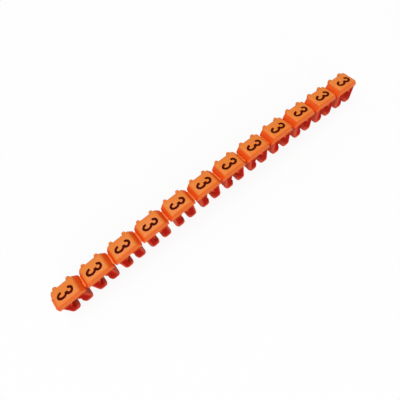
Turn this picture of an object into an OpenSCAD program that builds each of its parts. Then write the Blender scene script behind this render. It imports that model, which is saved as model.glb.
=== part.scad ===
// Strip of clip-on cable markers, moulded in one piece.
// Every marker is a small roof that carries the figure, on a C-shaped clip that snaps over a cable.
// Thin webs join the markers, so that one is broken off the end when it is needed.
// X runs along the strip, Y along the cables and Z up, and the strip stands on the feet of its clips.

/* [Strip] */
// Number of markers in the strip
marker_count = 12; // [2:1:20]
// Distance from one marker to the next
pitch = 4.8; // [4.4:0.1:8]
// Arch of the strip, in degrees from one marker to the next
arch_step = 0.85; // [0:0.05:2]

/* [Marker roof] */
// Height of a marker from its feet to its top face
marker_h = 4.1; // [4:0.1:6]
// Width of the top face, across the cable
top_w = 3.45; // [2.2:0.05:3.9]
// Depth of the roof, along the cable
roof_depth = 2.75; // [2:0.05:4]
// Height of the sloping flanks
flank_h = 0.95; // [0.7:0.05:1.1]
// Height of the upright edge below the flanks
edge_h = 0.3; // [0.2:0.05:0.5]
// Radius of the rounded edges of the top face
top_round = 0.3; // [0.1:0.05:0.5]
// Radius of the upright corners
corner_round = 0.3; // [0.1:0.05:0.5]

/* [Break-off webs] */
// Gap between the roofs of two neighbours
web_gap = 0.2; // [0.1:0.05:0.6]
// Depth of a web, along the cable
web_depth = 1.85; // [0.6:0.05:2]
// Thickness of a web
web_t = 0.2; // [0.1:0.05:0.2]
// Length of the torn stub that is left on the first marker
stub_l = 0.15; // [0.1:0.05:0.6]

/* [Cable clip] */
// Radius of the cable bore
bore_r = 0.9; // [0.7:0.05:1.1]
// Thickness of a leg beside the bore
leg_t = 1.0; // [0.5:0.05:1.1]
// Width of the mouth that the cable snaps through
mouth_w = 0.65; // [0.4:0.05:1.2]
// Depth of the legs, along the cable
leg_depth = 2.95; // [1.6:0.05:3.2]
// Height of the middle of the bore above the feet
bore_z = 1.7; // [1.4:0.05:1.75]
// Radius of the legs' upright edges
leg_round = 0.5; // [0.1:0.05:0.6]
// Radius of the feet's lower edges beside the mouth and outside
foot_round = 0.45; // [0.1:0.05:0.6]
// Radius of the feet's lower edges in front and behind
toe_round = 0.3; // [0.1:0.05:0.5]

/* [Back lugs] */
// Distance between the two lugs of a marker
lug_spacing = 2.25; // [1.2:0.05:2.5]
// Width of a lug
lug_w = 0.6; // [0.3:0.05:0.7]
// Reach of a lug out of the back of the roof
lug_out = 0.4; // [0.3:0.05:0.8]
// Height of a lug
lug_h = 0.6; // [0.3:0.05:0.7]
// Depth of a lug's top below the top face
lug_drop = 0.2; // [0.2:0.05:0.4]

/* [Hidden] */
$fn = 48;
// Overlap of pieces that are joined, and overrun of cuts
join = 0.2;
roof_w = pitch - web_gap;
roof_h = flank_h + edge_h;
roof_z = marker_h - roof_h;
// Rise of a flank above the level, and the round that meets it and the top face
flank_angle = atan2(flank_h, (roof_w - top_w) / 2);
corner_x = top_w / 2 - top_round * tan(flank_angle / 2);
corner_z = marker_h - top_round;
clip_w = 2 * (bore_r + leg_t);
leg_w = (clip_w - mouth_w) / 2;
// A thin leg keeps a flat between its rounds
leg_r = min(leg_round, 0.4 * leg_w);
foot_r = min(foot_round, 0.4 * leg_w);
foot_x = clip_w / 2 - foot_r;
bridge_depth = leg_depth - 2 * leg_r;
bridge_z = bore_z + 0.7 * bore_r;
// The webs bend, so the arch runs through their middle
web_z = roof_z + edge_h / 2;
arch_r = arch_step > 0 ? pitch / (2 * sin(arch_step / 2)) : 0;
end_angle = arch_step * (marker_count - 1) / 2;
// Height of the outermost foot's middle, below the same foot at the middle of the strip
end_drop = arch_step > 0
    ? (arch_r + foot_r - web_z) * (1 - cos(end_angle)) + foot_x * sin(end_angle)
    : 0;

// Puts a shape at a place along the arched strip, counted in markers from its middle
module along_strip(step) {
    if (arch_step > 0)
        translate([0, 0, end_drop + web_z - arch_r])
            rotate([0, step * arch_step, 0])
                translate([0, 0, arch_r - web_z])
                    children();
    else
        translate([step * pitch, 0, 0])
            children();
}

// Stands a section, drawn across the cable, upright and runs it along the cable
module along_cable(depth) {
    translate([0, depth / 2, 0])
        rotate([90, 0, 0])
            linear_extrude(depth)
                children();
}

// Rectangle on the plan, about the middle of the cable, with rounded corners
module rounded_plan(low_x, high_x, depth, r) {
    translate([low_x + r, -depth / 2])
        square([high_x - low_x - 2 * r, depth]);
    translate([low_x, r - depth / 2])
        square([high_x - low_x, depth - 2 * r]);
    for (x = [low_x + r, high_x - r])
        for (y = [r - depth / 2, depth / 2 - r])
            translate([x, y])
                circle(r);
}

// Roof across the cable: a flat top between sloping flanks, over short upright edges
module roof_section() {
    polygon([
        [-roof_w / 2, roof_z],
        [roof_w / 2, roof_z],
        [roof_w / 2, roof_z + edge_h],
        [corner_x + top_round * sin(flank_angle), corner_z + top_round * cos(flank_angle)],
        [corner_x, marker_h],
        [-corner_x, marker_h],
        [-corner_x - top_round * sin(flank_angle), corner_z + top_round * cos(flank_angle)],
        [-roof_w / 2, roof_z + edge_h]
    ]);
    for (side = [-1, 1])
        translate([side * corner_x, corner_z])
            circle(top_round);
}

// Roof along the cable: upright faces with the top edges rounded
module roof_side() {
    translate([-roof_depth / 2, roof_z])
        square([roof_depth, roof_h - top_round]);
    translate([-roof_depth / 2 + top_round, roof_z])
        square([roof_depth - 2 * top_round, roof_h]);
    for (side = [-1, 1])
        translate([side * (roof_depth / 2 - top_round), corner_z])
            circle(top_round);
}

module roof() {
    intersection() {
        along_cable(roof_depth)
            roof_section();
        rotate([0, 0, 90])
            along_cable(roof_w)
                roof_side();
        linear_extrude(marker_h)
            rounded_plan(-roof_w / 2, roof_w / 2, roof_depth, corner_round);
    }
}

// Leg across the cable: straight sides on a foot with rounded edges
module leg_section() {
    translate([mouth_w / 2, foot_r])
        square([leg_w, roof_z + join - foot_r]);
    translate([mouth_w / 2 + foot_r, 0])
        square([leg_w - 2 * foot_r, roof_z]);
    for (x = [mouth_w / 2 + foot_r, foot_x])
        translate([x, foot_r])
            circle(foot_r);
}

// Leg along the cable: upright faces with the lower edges rounded
module leg_side() {
    translate([-leg_depth / 2, toe_round])
        square([leg_depth, roof_z + join - toe_round]);
    translate([toe_round - leg_depth / 2, 0])
        square([leg_depth - 2 * toe_round, roof_z]);
    for (side = [-1, 1])
        translate([side * (leg_depth / 2 - toe_round), toe_round])
            circle(toe_round);
}

module leg() {
    intersection() {
        along_cable(leg_depth)
            leg_section();
        rotate([0, 0, 90])
            along_cable(clip_w)
                leg_side();
        linear_extrude(roof_z + join)
            rounded_plan(mouth_w / 2, clip_w / 2, leg_depth, leg_r);
    }
}

// C-shaped clip: two legs under a bridge, with a round bore and a narrower mouth
module clip() {
    difference() {
        union() {
            translate([-foot_x, -bridge_depth / 2, bridge_z])
                cube([2 * foot_x, bridge_depth, roof_z + join - bridge_z]);
            for (side = [0, 1])
                mirror([side, 0, 0])
                    leg();
        }
        along_cable(leg_depth + 2 * join)
            translate([0, bore_z])
                circle(bore_r);
    }
}

// Lugs on the back of the roof, which keep neighbours on one cable in line
module lugs() {
    for (side = [-1, 1])
        translate([side * lug_spacing / 2, 0, marker_h - lug_drop - lug_h])
            linear_extrude(lug_h) {
                translate([-lug_w / 2, roof_depth / 2 - join])
                    square([lug_w, lug_out + join - lug_w / 2]);
                translate([0, roof_depth / 2 + lug_out - lug_w / 2])
                    circle(lug_w / 2);
            }
}

module marker() {
    roof();
    clip();
    lugs();
}

// Web of a given length across the gap, sunk into the roof on each side
module web(length) {
    translate([-length / 2, -web_depth / 2, web_z - web_t / 2])
        cube([length, web_depth, web_t]);
}

module marker_strip() {
    color("darkorange") {
        for (step = [0 : marker_count - 1])
            along_strip(step - (marker_count - 1) / 2)
                marker();
        for (step = [1 : marker_count - 1])
            along_strip(step - marker_count / 2)
                web(web_gap + 2 * join);
        along_strip(-(marker_count - 1) / 2)
            translate([-(roof_w + stub_l - join) / 2, 0, 0])
                web(stub_l + join);
    }
}

marker_strip();
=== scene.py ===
"""Strip of clip-on cable markers: the moulding, its printed figures and a plain stage."""

import math
from functools import partial
from types import SimpleNamespace

import bmesh
import bpy
from mathutils import Matrix, Vector


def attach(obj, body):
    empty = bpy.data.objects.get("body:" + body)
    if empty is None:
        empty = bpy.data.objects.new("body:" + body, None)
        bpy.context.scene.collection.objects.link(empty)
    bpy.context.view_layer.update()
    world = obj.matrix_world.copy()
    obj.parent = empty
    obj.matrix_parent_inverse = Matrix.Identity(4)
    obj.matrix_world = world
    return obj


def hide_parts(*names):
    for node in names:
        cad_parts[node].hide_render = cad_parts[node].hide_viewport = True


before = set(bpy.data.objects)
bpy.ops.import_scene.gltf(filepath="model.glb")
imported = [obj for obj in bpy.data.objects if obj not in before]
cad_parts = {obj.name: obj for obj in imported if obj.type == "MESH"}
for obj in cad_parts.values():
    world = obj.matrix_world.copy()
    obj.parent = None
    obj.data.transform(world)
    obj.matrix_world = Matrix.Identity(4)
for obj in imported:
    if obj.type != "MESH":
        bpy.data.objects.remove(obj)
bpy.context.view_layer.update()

bl_info = {
    "name": "Cable marker strip",
    "version": (1, 0, 0),
    "blender": (4, 5, 0),
    "location": "3D View > Sidebar > Cable marker",
    "description": "Models a moulded strip of clip-on cable markers with a figure on each",
    "category": "Add Mesh",
}

NODE = "marker_strip"
BODY = "root"
PLASTIC = "orange_plastic"
INK = "black_ink"
GRAIN = "fine_grain"

# Shapes are modelled on a bench where a millimetre is one unit, because edit tools merge points
# that are closer than a tenth of a millimetre, and are brought to their size at the end
BENCH = 1000
MM = 0.001
# On the bench: how exactly a place is met, how close points are merged, and how far the legs and
# the roof overlap
TINY = 0.001
DOUBLES = 0.003
SEAT = 0.06
# An edge or a face points along an axis where that part of its unit vector is over ALONG, leans
# towards it over LEANING, and lies across it under ACROSS
ALONG = 0.9
LEANING = 0.5
ACROSS = 0.1

# Small rounds: a flank's foot and the roof's lower edges as shares of the top round, a lug's end
# and edges as shares of its width, and a web's edges as a share of its thickness
FLANK_FOOT_SHARE = 0.35
ROOF_FOOT_SHARE = 0.25
LUG_END_SHARE = 0.42
LUG_EDGE_SHARE = 0.16
WEB_EDGE_SHARE = 0.25
# Height of the bridge's underside above the bore's middle, in bore radii
BRIDGE_SHARE = 0.7
# Faces across each round
ROOF_FACES = 5
LEG_FACES = 6
LUG_END_FACES = 6
LUG_EDGE_FACES = 3
WEB_FACES = 2
# Fineness of the figure's stroke, and points round the bore and round a bowl of the figure
STROKE_FINENESS = 3
BORE_POINTS = 64
BOWL_POINTS = 72
# Edges that turn less than this are shaded smooth
STRIP_SMOOTH = math.radians(35)
FIGURE_SMOOTH = math.radians(60)

# The figure has its foot at -X and its open side at +Y. Each bowl is an oval, open between two
# angles in degrees, and both bowls run on to the spur between them
FULL_TURN = 360
SPUR = (0.19, 0.08)
LOWER_BOWL = {"centre": (-0.48, 0), "radii": (0.61, 0.42), "gap": (335, 88)}
UPPER_BOWL = {"centre": (0.665, 0), "radii": (0.44, 0.42), "gap": (104, 222)}

# Tones of painted light and shade on the one plastic: from the deep painted shade of a leg's flat
# at 0, through a painted glow in the bores and painted highlights on the legs' rims, to the lit top
# face at 1
BORE_GLOW_TONE = 0.12
RIM_HIGHLIGHT_TONE = 0.25
FLANK_SHADE_TONE = 0.5
TOP_LIT_TONE = 1.0
# A leg is flat where it faces an axis this squarely, and pales to its painted rim highlight over
# this much turn
FLAT_FACING = 0.97
RIM_TURN = 0.25
# A leg's corner is in the bore where it faces along the cable less than this, and is this close
# to the bore's wall
BORE_FACING = 0.5
BORE_RIM = 0.02
# A roof is painted paler, as if lit, towards its top's colour from this much turn upwards, over
# this much more, and its flanks keep a painted shade. Its front and back are painted paler as if
# they were turned upwards by this share
TOP_FROM = 0.42
TOP_TURN = 0.5
FRONT_LIFT = 0.75
# Where a leg's painted rim highlight starts and where it is full: beside the leg's middle, in
# shares of half its width, and above its foot, in millimetres
SIDE_HIGHLIGHT = (0.3, 0.85)
FOOT_HIGHLIGHT = (1.0, 0.35)

# Grain of the plastic and the ink: scales in spots to the metre, and roughness with its spread
PLASTIC_GRAIN = {"Mottle scale": 900, "Grain scale": 9000, "Roughness": 0.34, "Spread": 0.16}
INK_GRAIN = {"Mottle scale": 2500, "Grain scale": 15000, "Roughness": 0.5, "Spread": 0.2}
MOTTLE_DETAIL = 3
GRAIN_DETAIL = 2
NOISE_MIDDLE = 0.5
# Strength of the bumps of the plastic and the ink, and their depth in millimetres
PLASTIC_BUMP = 0.03
INK_BUMP = 0.2
BUMP_DEPTH = 0.02
# Strength of the plastic's mottle, and how much paler the ink is where its cover is thin
MOTTLE_SHARE = 0.12
THIN_INK = 2.2
# Shine of the bare plastic and the ink, and the gloss on the top faces
PLASTIC_SHINE = 0.004
INK_SHINE = 0.008
TOP_GLOSS = 0.28
GLOSS_ROUGHNESS = 0.2

# Stage, in metres and watts
WHITE = (1, 1, 1, 1)
FLOOR_SIZE = 2
FLOOR_COLOUR = (0.85, 0.85, 0.85, 1)
FLOOR_ROUGHNESS = 0.8
# Share of the floor's own colour and shadow that the camera sees through the white
FLOOR_SHARE = 0.10
SKY_STRENGTH = 0.45
SOFTBOXES = (
    {"name": "softbox_above", "place": (-0.06, 0.10, 0.42), "size": 0.30, "watts": 0.95},
    {"name": "softbox_front", "place": (-0.14, -0.34, 0.22), "size": 0.20, "watts": 0.72},
)
# Camera, in millimetres: its place, the ways that it looks and that its right side points, its
# sensor, its lens and the nearest thing that it sees
CAMERA_PLACE = (-13.15, -23.0, 47.33)
CAMERA_VIEW = (0.1813, 0.4395, -0.8798)
CAMERA_RIGHT = (0.7808, -0.6082, -0.1429)
CAMERA_SENSOR = 36
CAMERA_LENS = 30.6
CAMERA_NEAR = 1


def length(name, description, millimetres):
    """A length that a user may change, given in millimetres."""
    return bpy.props.FloatProperty(
        name=name, description=description, default=millimetres * MM,
        subtype="DISTANCE", unit="LENGTH", precision=5)


def angle(name, description, degrees):
    """An angle that a user may change, given in degrees."""
    return bpy.props.FloatProperty(
        name=name, description=description, default=math.radians(degrees),
        subtype="ANGLE", unit="ROTATION")


def colour(name, description, rgb):
    """A colour that a user may change."""
    return bpy.props.FloatVectorProperty(
        name=name, description=description, default=rgb, size=3, min=0, max=1, subtype="COLOR")


class StripSizes(bpy.types.PropertyGroup):
    """Sizes of the moulded strip, the same as in the part's source."""

    count: bpy.props.IntProperty(name="Markers", description="Number of markers", default=12, min=2)
    pitch: length("Pitch", "Distance from one marker to the next", 4.8)
    arch_step: angle("Arch", "Turn of the strip from one marker to the next", 0.85)
    marker_h: length("Marker height", "Height from the feet to the top face", 4.1)
    top_w: length("Top width", "Width of the top face, across the cable", 3.45)
    roof_depth: length("Roof depth", "Depth of the roof, along the cable", 2.75)
    flank_h: length("Flank height", "Height of the sloping flanks", 0.95)
    edge_h: length("Edge height", "Height of the upright edge below the flanks", 0.3)
    top_round: length("Top round", "Radius of the edges of the top face", 0.3)
    web_gap: length("Web gap", "Gap between the roofs of two neighbours", 0.2)
    web_depth: length("Web depth", "Depth of a web, along the cable", 1.85)
    web_t: length("Web thickness", "Thickness of a web", 0.2)
    stub_l: length("Stub length", "Length of the torn stub on the first marker", 0.15)
    bore_r: length("Bore radius", "Radius of the cable bore", 0.9)
    leg_t: length("Leg thickness", "Thickness of a leg beside the bore", 1.0)
    mouth_w: length("Mouth width", "Width of the mouth that the cable snaps through", 0.65)
    leg_depth: length("Leg depth", "Depth of the legs, along the cable", 2.95)
    bore_z: length("Bore height", "Height of the bore's middle above the feet", 1.7)
    foot_r: length("Foot round", "Radius of a foot's two lower edges along the cable", 0.45)
    toe_r: length("Toe round", "Radius of a foot's front and back lower edges", 0.3)
    leg_round: length("Leg round", "Radius of the legs' upright edges", 0.5)
    lug_spacing: length("Lug spacing", "Distance between the two lugs of a marker", 2.25)
    lug_w: length("Lug width", "Width of a lug", 0.6)
    lug_out: length("Lug reach", "Reach of a lug out of the roof's back", 0.4)
    lug_h: length("Lug height", "Height of a lug", 0.6)
    lug_drop: length("Lug drop", "Depth of a lug's top below the top face", 0.2)


class FigureSizes(bpy.types.PropertyGroup):
    """Sizes of the figure that is printed on each top face."""

    stroke: length("Stroke", "Width of the printed stroke", 0.38)
    ink_t: length("Ink thickness", "Height of the ink above the top face", 0.02)
    centre_y: length("Figure place", "Place of the figure's middle along the cable", -0.2)


class Finishes(bpy.types.PropertyGroup):
    """Colours of the ink, and of the one plastic as lit and shaded copies: the lit top, painted
    shade on the flanks and legs, a painted glow in the bores and painted highlights on the rims.
    """

    # The lit colour of the plastic, on the top faces and the lugs
    top: colour("Top", "Plastic of the top faces and the lugs", (0.77, 0.205, 0.030))
    # The same plastic with painted shade on the sloping flanks
    flank_shade: colour("Flank", "Plastic of the sloping flanks", (0.77, 0.056, 0.004))
    # The same plastic with deep painted shade on the legs' flats
    leg: colour("Leg", "Plastic of the legs' flats, where it is thickest", (0.40, 0.008, 0.003))
    # The same plastic with a painted glow of light through the thin plastic, in the bores and on
    # the legs' sides
    bore: colour("Bore", "Plastic of the bores and the legs' sides, which light shines through",
                 (0.60, 0.032, 0.012))
    # A painted highlight on the legs' rounded rims
    rim_highlight: colour("Rim", "Plastic of the legs' rounded rims", (0.64, 0.100, 0.052))
    ink: colour("Ink", "Ink of the figures", (0.046, 0.003, 0.001))


def on_bench(group):
    """The sizes of a property group as they are modelled, with the lengths in millimetres."""
    sizes = SimpleNamespace()
    for prop in group.bl_rna.properties:
        if prop.type in ("FLOAT", "INT"):
            scale = BENCH if getattr(prop, "unit", "NONE") == "LENGTH" else 1
            setattr(sizes, prop.identifier, getattr(group, prop.identifier) * scale)
    return sizes


def strip_sizes(context):
    """The strip's sizes on the bench, with those that follow from them."""
    s = on_bench(context.scene.marker_sizes)
    s.roof_w = s.pitch - s.web_gap
    s.roof_z = s.marker_h - (s.flank_h + s.edge_h)
    s.clip_w = 2 * (s.bore_r + s.leg_t)
    s.foot_x = s.clip_w / 2 - s.foot_r
    # The webs bend, so the arch runs through their middle
    s.web_z = s.roof_z + s.edge_h / 2
    s.arch_r = s.pitch / (2 * math.sin(s.arch_step / 2))
    # Markers are counted along the strip from its middle
    s.middle = (s.count - 1) / 2
    s.steps = [i - s.middle for i in range(s.count)]
    end = s.arch_step * s.middle
    # Height of the outermost foot below the same foot at the middle of the strip
    drop = (s.arch_r + s.foot_r - s.web_z) * (1 - math.cos(end)) + s.foot_x * math.sin(end)
    s.arch_z = drop + s.web_z - s.arch_r
    return s


def along_strip(s, step):
    """Matrix that puts a shape at a place along the arched strip, counted from its middle."""
    return (Matrix.Translation((0, 0, s.arch_z)) @ Matrix.Rotation(step * s.arch_step, 4, "Y")
            @ Matrix.Translation((0, 0, s.arch_r - s.web_z)))


def clear_selection():
    """Leaves edit mode and deselects every object."""
    if bpy.context.object and bpy.context.object.mode != "OBJECT":
        bpy.ops.object.mode_set(mode="OBJECT")
    bpy.ops.object.select_all(action="DESELECT")


def take(*pieces):
    """Selects these pieces alone, and makes the first one active."""
    clear_selection()
    for piece in pieces:
        piece.select_set(True)
    bpy.context.view_layer.objects.active = pieces[0]


def settle(piece):
    """Puts a piece's place into its mesh."""
    take(piece)
    bpy.ops.object.transform_apply(location=True, rotation=True, scale=True)


def add_block(name, low, high):
    """Adds a block between two corners."""
    clear_selection()
    low, high = Vector(low), Vector(high)
    bpy.ops.mesh.primitive_cube_add(size=1, location=(low + high) / 2, scale=high - low)
    block = bpy.context.object
    block.name = name
    settle(block)
    return block


def add_rod(name, radius, depth, centre):
    """Adds a rod that lies along the cable."""
    clear_selection()
    bpy.ops.mesh.primitive_cylinder_add(
        vertices=BORE_POINTS, radius=radius, depth=depth, location=centre,
        rotation=(math.radians(90), 0, 0))
    rod = bpy.context.object
    rod.name = name
    settle(rod)
    return rod


def edit_all(piece):
    """Goes into edit mode with the whole piece selected."""
    take(piece)
    bpy.ops.object.mode_set(mode="EDIT")
    bpy.ops.mesh.select_all(action="SELECT")


def edge_facts(edge):
    """What edges are chosen by: the middle and the run of an edge, and its faces' normals."""
    start, end = (vert.co for vert in edge.verts)
    return SimpleNamespace(mid=(start + end) / 2, run=(end - start).normalized(),
                           normals=[face.normal for face in edge.link_faces])


def edit_edges(piece, test):
    """Goes into edit mode with those edges selected whose facts pass the test."""
    take(piece)
    bpy.ops.object.mode_set(mode="EDIT")
    bpy.ops.mesh.select_mode(type="EDGE")
    bpy.ops.mesh.select_all(action="DESELECT")
    shape = bmesh.from_edit_mesh(piece.data)
    chosen = [edge for edge in shape.edges if test(edge_facts(edge))]
    if not chosen:
        raise RuntimeError("no edge of " + piece.name + " is where it should be")
    for edge in chosen:
        edge.select_set(True)
    bmesh.update_edit_mesh(piece.data)


def round_edges(piece, radius, faces, test):
    """Rounds the edges that pass the test."""
    edit_edges(piece, test)
    bpy.ops.mesh.bevel(offset=radius, offset_type="OFFSET", segments=faces, affect="EDGES")
    bpy.ops.object.mode_set(mode="OBJECT")


def round_by_share(piece, radius, faces, rounds):
    """Rounds edges by shares of a radius; rounds holds pairs of a share and a test."""
    for share, test in rounds:
        edit_edges(piece, test)
        bpy.ops.transform.edge_bevelweight(value=share)
    bpy.ops.object.mode_set(mode="OBJECT")
    bevel = piece.modifiers.new("rounds", "BEVEL")
    bevel.limit_method = "WEIGHT"
    bevel.width = radius
    bevel.segments = faces
    bpy.ops.object.modifier_apply(modifier=bevel.name)


def combine(piece, tool, operation):
    """Cuts a tool shape out of a piece, or joins it to the piece."""
    take(piece)
    boolean = piece.modifiers.new("combine", "BOOLEAN")
    boolean.operation = operation
    boolean.solver = "EXACT"
    boolean.object = tool
    bpy.ops.object.modifier_apply(modifier=boolean.name)
    bpy.data.objects.remove(tool)


def copy_along(s, piece, steps):
    """Copies a piece, with its own mesh each time, to places along the strip, and removes it."""
    copies = []
    for step in steps:
        take(piece)
        bpy.ops.object.duplicate(linked=False)
        copy = bpy.context.object
        copy.matrix_world = along_strip(s, step)
        settle(copy)
        copies.append(copy)
    bpy.data.objects.remove(piece)
    return copies


def join(name, pieces):
    """Joins pieces that don't touch into one object."""
    take(*pieces)
    bpy.ops.object.join()
    joined = bpy.context.object
    joined.name = name
    return joined


def clean(piece):
    """Merges a piece's doubled points, takes out its slivers and points its faces outwards."""
    edit_all(piece)
    bpy.ops.mesh.remove_doubles(threshold=DOUBLES)
    bpy.ops.mesh.dissolve_degenerate(threshold=DOUBLES)
    bpy.ops.mesh.select_all(action="SELECT")
    bpy.ops.mesh.normals_make_consistent(inside=False)
    bpy.ops.object.mode_set(mode="OBJECT")


def finish_piece(piece, smooth, material):
    """Brings a piece from the bench to its size, and gives it its finish and its body."""
    edit_all(piece)
    bpy.ops.transform.resize(value=(1 / BENCH,) * 3, center_override=(0, 0, 0))
    bpy.ops.object.mode_set(mode="OBJECT")
    bpy.ops.object.shade_smooth_by_angle(angle=smooth)
    piece.data.materials.clear()
    piece.data.materials.append(material)
    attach(piece, BODY)


def model_roof(s):
    """The roof: a block with its top drawn in, rounded round the top face and at its corners."""
    flank_z = s.roof_z + s.edge_h
    roof = add_block("roof", (-s.roof_w / 2, -s.roof_depth / 2, s.roof_z),
                     (s.roof_w / 2, s.roof_depth / 2, s.marker_h))
    edit_all(roof)
    bpy.ops.mesh.bisect(plane_co=(0, 0, flank_z), plane_no=(0, 0, 1))
    edit_edges(roof, lambda e: e.mid.z > s.marker_h - TINY)
    bpy.ops.transform.resize(
        value=(s.top_w / s.roof_w, 1, 1), center_override=(0, 0, s.marker_h))
    round_by_share(roof, s.top_round, ROOF_FACES, [
        (1, lambda e: e.mid.z > s.marker_h - TINY),
        (1, lambda e: abs(e.run.z) > LEANING),
        (FLANK_FOOT_SHARE, lambda e: abs(e.run.y) > ALONG and abs(e.mid.z - flank_z) < TINY),
        (ROOF_FOOT_SHARE, lambda e: e.mid.z < s.roof_z + TINY),
    ])
    return roof


def model_leg(s, side):
    """A leg: a block with a round foot and rounded upright edges."""
    low, high = sorted((side * s.mouth_w / 2, side * s.clip_w / 2))
    half = s.leg_depth / 2
    leg = add_block("leg", (low, -half, 0), (high, half, s.roof_z + SEAT))
    round_by_share(leg, s.leg_round, LEG_FACES, [
        (1, lambda e: abs(e.run.z) > ALONG),
        (s.foot_r / s.leg_round, lambda e: e.mid.z < TINY and abs(e.run.y) > ALONG),
        (s.toe_r / s.leg_round, lambda e: e.mid.z < TINY and abs(e.run.x) > ALONG),
    ])
    return leg


def model_clip(s):
    """The C-shaped clip: two legs under a bridge, bored for the cable."""
    depth = s.leg_depth - 2 * s.leg_round
    clip = add_block("bridge", (-s.foot_x, -depth / 2, s.bore_z + s.bore_r * BRIDGE_SHARE),
                     (s.foot_x, depth / 2, s.roof_z + 2 * SEAT))
    for side in (-1, 1):
        combine(clip, model_leg(s, side), "UNION")
    combine(clip, add_rod("bore", s.bore_r, 2 * depth, (0, 0, s.bore_z)), "DIFFERENCE")
    clean(clip)
    return clip


def model_lug(s, side):
    """A lug: a block with a round end and softened edges."""
    x, half = side * s.lug_spacing / 2, s.lug_w / 2
    top = s.marker_h - s.lug_drop
    back = s.roof_depth / 2
    end = back + s.lug_out
    lug = add_block("lug", (x - half, back - half, top - s.lug_h), (x + half, end, top))
    round_edges(lug, s.lug_w * LUG_END_SHARE, LUG_END_FACES,
                lambda e: abs(e.run.z) > ALONG and e.mid.y > end - TINY)
    round_edges(lug, s.lug_w * LUG_EDGE_SHARE, LUG_EDGE_FACES,
                lambda e: abs(e.run.z) < ACROSS and e.mid.y > back
                and any(abs(normal.z) > ALONG for normal in e.normals))
    return lug


def model_marker(s):
    """One marker: roof, lugs and clip in one closed shape."""
    marker = model_roof(s)
    for side in (-1, 1):
        combine(marker, model_lug(s, side), "UNION")
    combine(marker, model_clip(s), "UNION")
    return marker


def model_web(s, low_x, high_x):
    """A web from one place across the marker to another, with softened edges along its run."""
    web = add_block("web", (low_x, -s.web_depth / 2, s.web_z - s.web_t / 2),
                    (high_x, s.web_depth / 2, s.web_z + s.web_t / 2))
    round_edges(web, s.web_t * WEB_EDGE_SHARE, WEB_FACES, lambda e: abs(e.run.x) > ALONG)
    return web


def in_marker(s, point):
    """Place of a point of the finished strip across and up its own marker, in millimetres."""
    x, z = point.x / MM, point.z / MM - s.arch_z
    spoke, step = math.hypot(x, z), math.atan2(x, z) / s.arch_step + s.middle
    off = (step - min(s.count - 1, max(0, round(step)))) * s.arch_step
    return spoke * math.sin(off), spoke * math.cos(off) - s.arch_r + s.web_z


def between(low, span, value):
    """How far a value is from low to low + span, from 0 to 1."""
    return min(1.0, max(0.0, (value - low) / span))


def leg_light_and_shade(s, point, normal):
    """Painted light and shade of a leg's corner: deep painted shade on its front and back flats, a
    painted glow in the bore and on its sides, and a painted highlight on its rims.
    """
    x, height = in_marker(s, point)
    near_bore = math.hypot(x, height - s.bore_z) < s.bore_r + BORE_RIM
    # The legs' sides and the bore get a painted glow; the front and back flats get deep painted
    # shade, paling to a painted highlight on the rounds
    if abs(normal.x) > FLAT_FACING or (near_bore and abs(normal.y) < BORE_FACING):
        return BORE_GLOW_TONE
    return RIM_HIGHLIGHT_TONE * between(0, RIM_TURN, FLAT_FACING - abs(normal.y))


def roof_light_and_shade(normal):
    """Painted light and shade of a roof's corner: palest, as if lit, on the top face, and redder
    with painted shade on the flanks.
    """
    lift = between(TOP_FROM, TOP_TURN, max(normal.z, FRONT_LIFT * abs(normal.y)))
    return FLANK_SHADE_TONE + (TOP_LIT_TONE - FLANK_SHADE_TONE) * lift


def paint_light_and_shade(piece, s):
    """Writes the painted light and shade of the one plastic at each corner of the finished strip's
    faces.
    """
    mesh = piece.data
    tone = mesh.attributes.new("tone", "FLOAT", "CORNER")
    values = [TOP_LIT_TONE] * len(mesh.loops)
    for face in mesh.polygons:
        height = in_marker(s, face.center)[1]
        proud = abs(face.center.y) > (s.roof_depth / 2 + TINY) * MM
        leg = height < s.roof_z - TINY or (proud and height < s.roof_z + 2 * SEAT)
        # What stands proud above the legs is a lug, which keeps the painted lit tone of the top
        for i in face.loop_indices:
            normal = mesh.corner_normals[i].vector
            if leg:
                values[i] = leg_light_and_shade(s, mesh.vertices[mesh.loops[i].vertex_index].co, normal)
            elif not proud:
                values[i] = roof_light_and_shade(normal)
    tone.data.foreach_set("value", values)


def arithmetic(tree, operation, *values):
    """Result of a Math node; each value is a number or the output of another node."""
    node = tree.nodes.new("ShaderNodeMath")
    node.operation = operation
    for socket, value in zip(node.inputs, values):
        if isinstance(value, (int, float)):
            socket.default_value = value
        else:
            tree.links.new(value, socket)
    return node.outputs[0]


def ease(tree, value, none, full):
    """A soft step of a value in metres, from 0 at none millimetres to 1 at full millimetres."""
    node = tree.nodes.new("ShaderNodeMapRange")
    node.interpolation_type = "SMOOTHSTEP"
    low, high = sorted((none, full))
    node.inputs["From Min"].default_value = low * MM
    node.inputs["From Max"].default_value = high * MM
    node.inputs["To Min"].default_value = 0 if none < full else 1
    node.inputs["To Max"].default_value = 1 if none < full else 0
    tree.links.new(value, node.inputs["Value"])
    return node.outputs["Result"]


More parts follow.
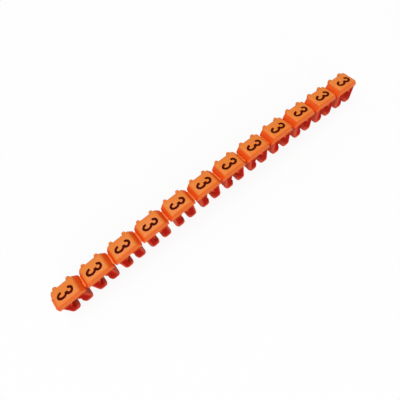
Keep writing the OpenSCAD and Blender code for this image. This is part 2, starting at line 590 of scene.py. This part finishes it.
def fine_grain():
    """Node group: the fine mottle and grain that moulded plastic and printed ink share."""
    group = bpy.data.node_groups.new(GRAIN, "ShaderNodeTree")
    add_socket = partial(group.interface.new_socket, socket_type="NodeSocketFloat")
    for name, value in PLASTIC_GRAIN.items():
        add_socket(name, in_out="INPUT").default_value = value
    for name in ("Mottle", "Roughness", "Height"):
        add_socket(name, in_out="OUTPUT")
    nodes, links = group.nodes, group.links
    given, made = nodes.new("NodeGroupInput"), nodes.new("NodeGroupOutput")
    place = nodes.new("ShaderNodeTexCoord")
    mottle, grain = nodes.new("ShaderNodeTexNoise"), nodes.new("ShaderNodeTexNoise")
    mottle.inputs["Detail"].default_value = MOTTLE_DETAIL
    grain.inputs["Detail"].default_value = GRAIN_DETAIL
    for noise, scale in ((mottle, "Mottle scale"), (grain, "Grain scale")):
        links.new(place.outputs["Object"], noise.inputs["Vector"])
        links.new(given.outputs[scale], noise.inputs["Scale"])
    centred = arithmetic(group, "SUBTRACT", mottle.outputs["Fac"], NOISE_MIDDLE)
    rough = arithmetic(group, "MULTIPLY_ADD", centred, given.outputs["Spread"],
                       given.outputs["Roughness"])
    links.new(mottle.outputs["Fac"], made.inputs["Mottle"])
    links.new(rough, made.inputs["Roughness"])
    links.new(grain.outputs["Fac"], made.inputs["Height"])
    return group


def new_material(name, grain_values, bump):
    """A material with the shared grain in its roughness and bump, its shader and its grain node."""
    material = bpy.data.materials.new(name)
    material.use_nodes = True
    nodes, links = material.node_tree.nodes, material.node_tree.links
    shader = nodes["Principled BSDF"]
    grain = nodes.new("ShaderNodeGroup")
    grain.node_tree = bpy.data.node_groups.get(GRAIN) or fine_grain()
    for socket, value in grain_values.items():
        grain.inputs[socket].default_value = value
    links.new(grain.outputs["Roughness"], shader.inputs["Roughness"])
    rise = nodes.new("ShaderNodeBump")
    rise.inputs["Strength"].default_value = bump
    rise.inputs["Distance"].default_value = BUMP_DEPTH * MM
    links.new(grain.outputs["Height"], rise.inputs["Height"])
    links.new(rise.outputs["Normal"], shader.inputs["Normal"])
    return material, shader, grain


def leg_rim_highlights(tree, s):
    """Share of the painted highlight on the rim along the sides and the foot of each leg, by its
    place in a marker.
    """
    do = partial(arithmetic, tree)
    place = tree.nodes.new("ShaderNodeTexCoord")
    parts = tree.nodes.new("ShaderNodeSeparateXYZ")
    tree.links.new(place.outputs["Object"], parts.inputs[0])
    x, z = parts.outputs["X"], do("SUBTRACT", parts.outputs["Z"], s.arch_z * MM)
    step = do("ADD", do("DIVIDE", do("ARCTAN2", x, z), s.arch_step), s.middle)
    off = do("SUBTRACT", step, do("ROUND", step))
    across = do("ABSOLUTE", do("MULTIPLY", off, s.pitch * MM))
    spoke = do("SQRT", do("ADD", do("MULTIPLY", x, x), do("MULTIPLY", z, z)))
    height = do("SUBTRACT", spoke, (s.arch_r - s.web_z) * MM)
    leg_x, half_leg = (s.mouth_w + s.clip_w) / 4, (s.clip_w - s.mouth_w) / 4
    beside = do("ABSOLUTE", do("SUBTRACT", across, leg_x * MM))
    side_highlight = ease(tree, beside, *(share * half_leg for share in SIDE_HIGHLIGHT))
    return do("MAXIMUM", side_highlight, ease(tree, height, *FOOT_HIGHLIGHT))


def plastic_material(finish, s):
    """Orange plastic with painted shade that deepens it to red from the top faces to the legs, a
    painted glow in the bores and painted highlights on the legs' rims.
    """
    material, shader, grain = new_material(PLASTIC, PLASTIC_GRAIN, PLASTIC_BUMP)
    tree = material.node_tree
    nodes, links = tree.nodes, tree.links
    tone = nodes.new("ShaderNodeAttribute")
    tone.attribute_name = "tone"
    # The ramp holds lit and shaded copies of the one plastic: painted shade, painted glow, painted
    # highlight and the lit top
    ramp = nodes.new("ShaderNodeValToRGB")
    stops = ramp.color_ramp.elements
    stops[0].position, stops[0].color = 0, (*finish.leg, 1)
    stops[1].position, stops[1].color = TOP_LIT_TONE, (*finish.top, 1)
    tints = ((BORE_GLOW_TONE, finish.bore), (RIM_HIGHLIGHT_TONE, finish.rim_highlight), (FLANK_SHADE_TONE, finish.flank_shade))
    for place, tint in tints:
        stops.new(place).color = (*tint, 1)
    # Painted highlights on the legs' rims, placed by where they are in each marker, lift the
    # painted light and shade
    rim_highlights = arithmetic(tree, "MULTIPLY", leg_rim_highlights(tree, s), RIM_HIGHLIGHT_TONE)
    links.new(arithmetic(tree, "MAXIMUM", tone.outputs["Fac"], rim_highlights), ramp.inputs["Fac"])
    cloud = nodes.new("ShaderNodeMix")
    cloud.data_type = "RGBA"
    cloud.blend_type = "OVERLAY"
    cloud.inputs["Factor"].default_value = MOTTLE_SHARE
    links.new(ramp.outputs["Color"], cloud.inputs["A"])
    links.new(grain.outputs["Mottle"], cloud.inputs["B"])
    links.new(cloud.outputs["Result"], shader.inputs["Base Color"])
    shader.inputs["Specular IOR Level"].default_value = PLASTIC_SHINE
    gloss = nodes.new("ShaderNodeMapRange")
    gloss.inputs["From Min"].default_value = RIM_HIGHLIGHT_TONE
    gloss.inputs["To Max"].default_value = TOP_GLOSS
    links.new(tone.outputs["Fac"], gloss.inputs["Value"])
    links.new(gloss.outputs["Result"], shader.inputs["Coat Weight"])
    shader.inputs["Coat Roughness"].default_value = GLOSS_ROUGHNESS
    return material


def ink_material(finish):
    """Dark printing ink, a little uneven in its cover."""
    material, shader, grain = new_material(INK, INK_GRAIN, INK_BUMP)
    nodes, links = material.node_tree.nodes, material.node_tree.links
    cover = nodes.new("ShaderNodeMix")
    cover.data_type = "RGBA"
    cover.inputs["A"].default_value = (*finish.ink, 1)
    cover.inputs["B"].default_value = (*(THIN_INK * part for part in finish.ink), 1)
    links.new(grain.outputs["Mottle"], cover.inputs["Factor"])
    links.new(cover.outputs["Result"], shader.inputs["Base Color"])
    shader.inputs["Specular IOR Level"].default_value = INK_SHINE
    return material


class CABLE_MARKER_OT_moulding(bpy.types.Operator):
    """Model the moulded strip: markers, break-off webs and the torn stub"""

    bl_idname = "cable_marker.moulding"
    bl_label = "Moulded strip"

    def execute(self, context):
        s = strip_sizes(context)
        markers = copy_along(s, model_marker(s), s.steps)
        # A web is sunk this far into the roofs, and stands half way between two markers
        sunk = s.top_round / 2
        web = model_web(s, -s.web_gap / 2 - sunk, s.web_gap / 2 + sunk)
        webs = copy_along(s, web, [step + 0.5 for step in s.steps[:-1]])
        stub = model_web(s, -s.roof_w / 2 - s.stub_l, -s.roof_w / 2 + sunk)
        webs += copy_along(s, stub, s.steps[:1])
        strip = join("strip_moulding", markers)
        combine(strip, join("webs", webs), "UNION")
        clean(strip)
        plastic = plastic_material(context.scene.marker_finishes, s)
        finish_piece(strip, STRIP_SMOOTH, plastic)
        paint_light_and_shade(strip, s)
        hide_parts(NODE)
        return {"FINISHED"}


def draw_bowl(stroke, centre, radii, gap):
    """One bowl of the figure, as a round stroke that runs on to the spur from its nearer end."""
    clear_selection()
    bpy.ops.mesh.primitive_circle_add(vertices=BOWL_POINTS, radius=1, location=(0, 0, 0))
    bowl = bpy.context.object
    bpy.ops.object.mode_set(mode="EDIT")
    bpy.ops.mesh.select_mode(type="VERT")
    bpy.ops.mesh.select_all(action="DESELECT")
    shape = bmesh.from_edit_mesh(bowl.data)
    for vert in shape.verts:
        turn = math.degrees(math.atan2(vert.co.y, vert.co.x)) % FULL_TURN
        vert.select_set((turn - gap[0]) % FULL_TURN < (gap[1] - gap[0]) % FULL_TURN)
    bmesh.update_edit_mesh(bowl.data)
    bpy.ops.mesh.delete(type="VERT")
    bpy.ops.mesh.select_all(action="SELECT")
    bpy.ops.transform.resize(value=(*radii, 1), center_override=(0, 0, 0))
    bpy.ops.transform.translate(value=(*centre, 0))
    bpy.ops.mesh.select_all(action="DESELECT")
    shape = bmesh.from_edit_mesh(bowl.data)
    spur = Vector((*SPUR, 0))
    ends = [vert for vert in shape.verts if len(vert.link_edges) == 1]
    nearest = min(ends, key=lambda vert: (vert.co - spur).length)
    nearest.select_set(True)
    reach = spur - nearest.co
    bmesh.update_edit_mesh(bowl.data)
    bpy.ops.mesh.extrude_region_move(TRANSFORM_OT_translate={"value": reach})
    bpy.ops.object.mode_set(mode="OBJECT")
    bpy.ops.object.convert(target="CURVE")
    line = bowl.data
    line.dimensions = "3D"
    line.bevel_depth = stroke / 2
    line.bevel_resolution = STROKE_FINENESS
    line.use_fill_caps = True
    bpy.ops.object.convert(target="MESH")
    return bpy.context.object


class CABLE_MARKER_OT_figures(bpy.types.Operator):
    """Print the figure on each top face"""

    bl_idname = "cable_marker.figures"
    bl_label = "Printed figures"

    def execute(self, context):
        s = strip_sizes(context)
        f = on_bench(context.scene.marker_figure)
        figure = draw_bowl(f.stroke, **LOWER_BOWL)
        combine(figure, draw_bowl(f.stroke, **UPPER_BOWL), "UNION")
        # The round stroke is pressed flat, half of it in the plastic
        edit_all(figure)
        bpy.ops.transform.resize(
            value=(1, 1, 2 * f.ink_t / f.stroke), center_override=(0, 0, 0))
        bpy.ops.transform.translate(value=(0, f.centre_y, s.marker_h))
        bpy.ops.object.mode_set(mode="OBJECT")
        clean(figure)
        ink = ink_material(context.scene.marker_finishes)
        for number, copy in enumerate(copy_along(s, figure, s.steps), start=1):
            copy.name = f"figure_{number:02d}"
            finish_piece(copy, FIGURE_SMOOTH, ink)
        return {"FINISHED"}


def white_to_camera(tree, plain, glow_type, output, share):
    """Mixes a white glow over the floor or the sky, for the camera, mirrors and glass.

    share is the part of the plain floor or sky that they still see."""
    nodes, links = tree.nodes, tree.links
    path = nodes.new("ShaderNodeLightPath")
    mirrored = arithmetic(tree, "MAXIMUM", path.outputs["Is Glossy Ray"],
                          path.outputs["Is Transmission Ray"])
    seen = arithmetic(tree, "MAXIMUM", path.outputs["Is Camera Ray"], mirrored)
    glow = nodes.new(glow_type)
    glow.inputs["Color"].default_value = WHITE
    glow.inputs["Strength"].default_value = 1
    mix = nodes.new("ShaderNodeMixShader")
    links.new(arithmetic(tree, "MULTIPLY", seen, 1 - share), mix.inputs["Fac"])
    links.new(plain.outputs[0], mix.inputs[1])
    links.new(glow.outputs[0], mix.inputs[2])
    links.new(mix.outputs[0], nodes[output].inputs["Surface"])


def add_floor():
    """A pale floor that keeps the object's shadow."""
    clear_selection()
    bpy.ops.mesh.primitive_plane_add(size=FLOOR_SIZE, location=(0, 0, 0))
    floor = bpy.context.object
    floor.name = "floor"
    pale = bpy.data.materials.new("pale_floor")
    pale.use_nodes = True
    shader = pale.node_tree.nodes["Principled BSDF"]
    shader.inputs["Base Color"].default_value = FLOOR_COLOUR
    shader.inputs["Roughness"].default_value = FLOOR_ROUGHNESS
    white_to_camera(pale.node_tree, shader, "ShaderNodeEmission", "Material Output", FLOOR_SHARE)
    floor.data.materials.append(pale)


def light_sky(scene):
    """An even white sky."""
    scene.world = scene.world or bpy.data.worlds.new("studio")
    scene.world.use_nodes = True
    tree = scene.world.node_tree
    sky = tree.nodes["Background"]
    sky.inputs["Color"].default_value = WHITE
    sky.inputs["Strength"].default_value = SKY_STRENGTH
    white_to_camera(tree, sky, "ShaderNodeBackground", "World Output", 0)


def add_lamp(name, place, size, watts):
    """A square soft light that faces the middle of the stage."""
    clear_selection()
    bpy.ops.object.light_add(type="AREA", location=place)
    lamp = bpy.context.object
    lamp.name = name
    lamp.data.shape = "SQUARE"
    lamp.data.size = size
    lamp.data.energy = watts
    lamp.rotation_euler = (-Vector(place)).to_track_quat("-Z", "Y").to_euler()


def add_camera(scene):
    """The camera, at the photograph's viewing angle."""
    bpy.ops.object.camera_add(location=[part * MM for part in CAMERA_PLACE])
    camera = bpy.context.object
    view = Vector(CAMERA_VIEW).normalized()
    right = Vector(CAMERA_RIGHT)
    right = (right - right.dot(view) * view).normalized()
    up = right.cross(view)
    camera.rotation_euler = Matrix((right, up, -view)).transposed().to_euler()
    camera.data.sensor_width = CAMERA_SENSOR
    camera.data.lens = CAMERA_LENS
    camera.data.clip_start = CAMERA_NEAR * MM
    scene.camera = camera


class CABLE_MARKER_OT_stage(bpy.types.Operator):
    """Set up the pale floor, the soft lights and the camera"""

    bl_idname = "cable_marker.stage"
    bl_label = "Stage"

    def execute(self, context):
        context.scene.view_settings.view_transform = "Standard"
        add_floor()
        light_sky(context.scene)
        for softbox in SOFTBOXES:
            add_lamp(**softbox)
        add_camera(context.scene)
        return {"FINISHED"}


class CABLE_MARKER_PT_panel(bpy.types.Panel):
    """Lists the sizes, the colours and the steps that make the marker strip."""

    bl_idname = "CABLE_MARKER_PT_panel"
    bl_label = "Cable marker strip"
    bl_space_type = "VIEW_3D"
    bl_region_type = "UI"
    bl_category = "Cable marker"

    def draw(self, context):
        layout, scene = self.layout, context.scene
        for group in (scene.marker_sizes, scene.marker_figure, scene.marker_finishes):
            column = layout.column(align=True)
            for prop in group.bl_rna.properties:
                if prop.identifier not in ("rna_type", "name"):
                    column.prop(group, prop.identifier)
        for step in STEPS:
            layout.operator(step.bl_idname)


STEPS = (CABLE_MARKER_OT_moulding, CABLE_MARKER_OT_figures, CABLE_MARKER_OT_stage)
CLASSES = (StripSizes, FigureSizes, Finishes, *STEPS, CABLE_MARKER_PT_panel)


def register():
    for cls in CLASSES:
        bpy.utils.register_class(cls)
    bpy.types.Scene.marker_sizes = bpy.props.PointerProperty(type=StripSizes)
    bpy.types.Scene.marker_figure = bpy.props.PointerProperty(type=FigureSizes)
    bpy.types.Scene.marker_finishes = bpy.props.PointerProperty(type=Finishes)


def unregister():
    del bpy.types.Scene.marker_finishes
    del bpy.types.Scene.marker_figure
    del bpy.types.Scene.marker_sizes
    for cls in reversed(CLASSES):
        bpy.utils.unregister_class(cls)


def main():
    """Makes the strip and its stage."""
    register()
    bpy.ops.cable_marker.moulding()
    bpy.ops.cable_marker.figures()
    bpy.ops.cable_marker.stage()


if __name__ == "__main__":
    main()
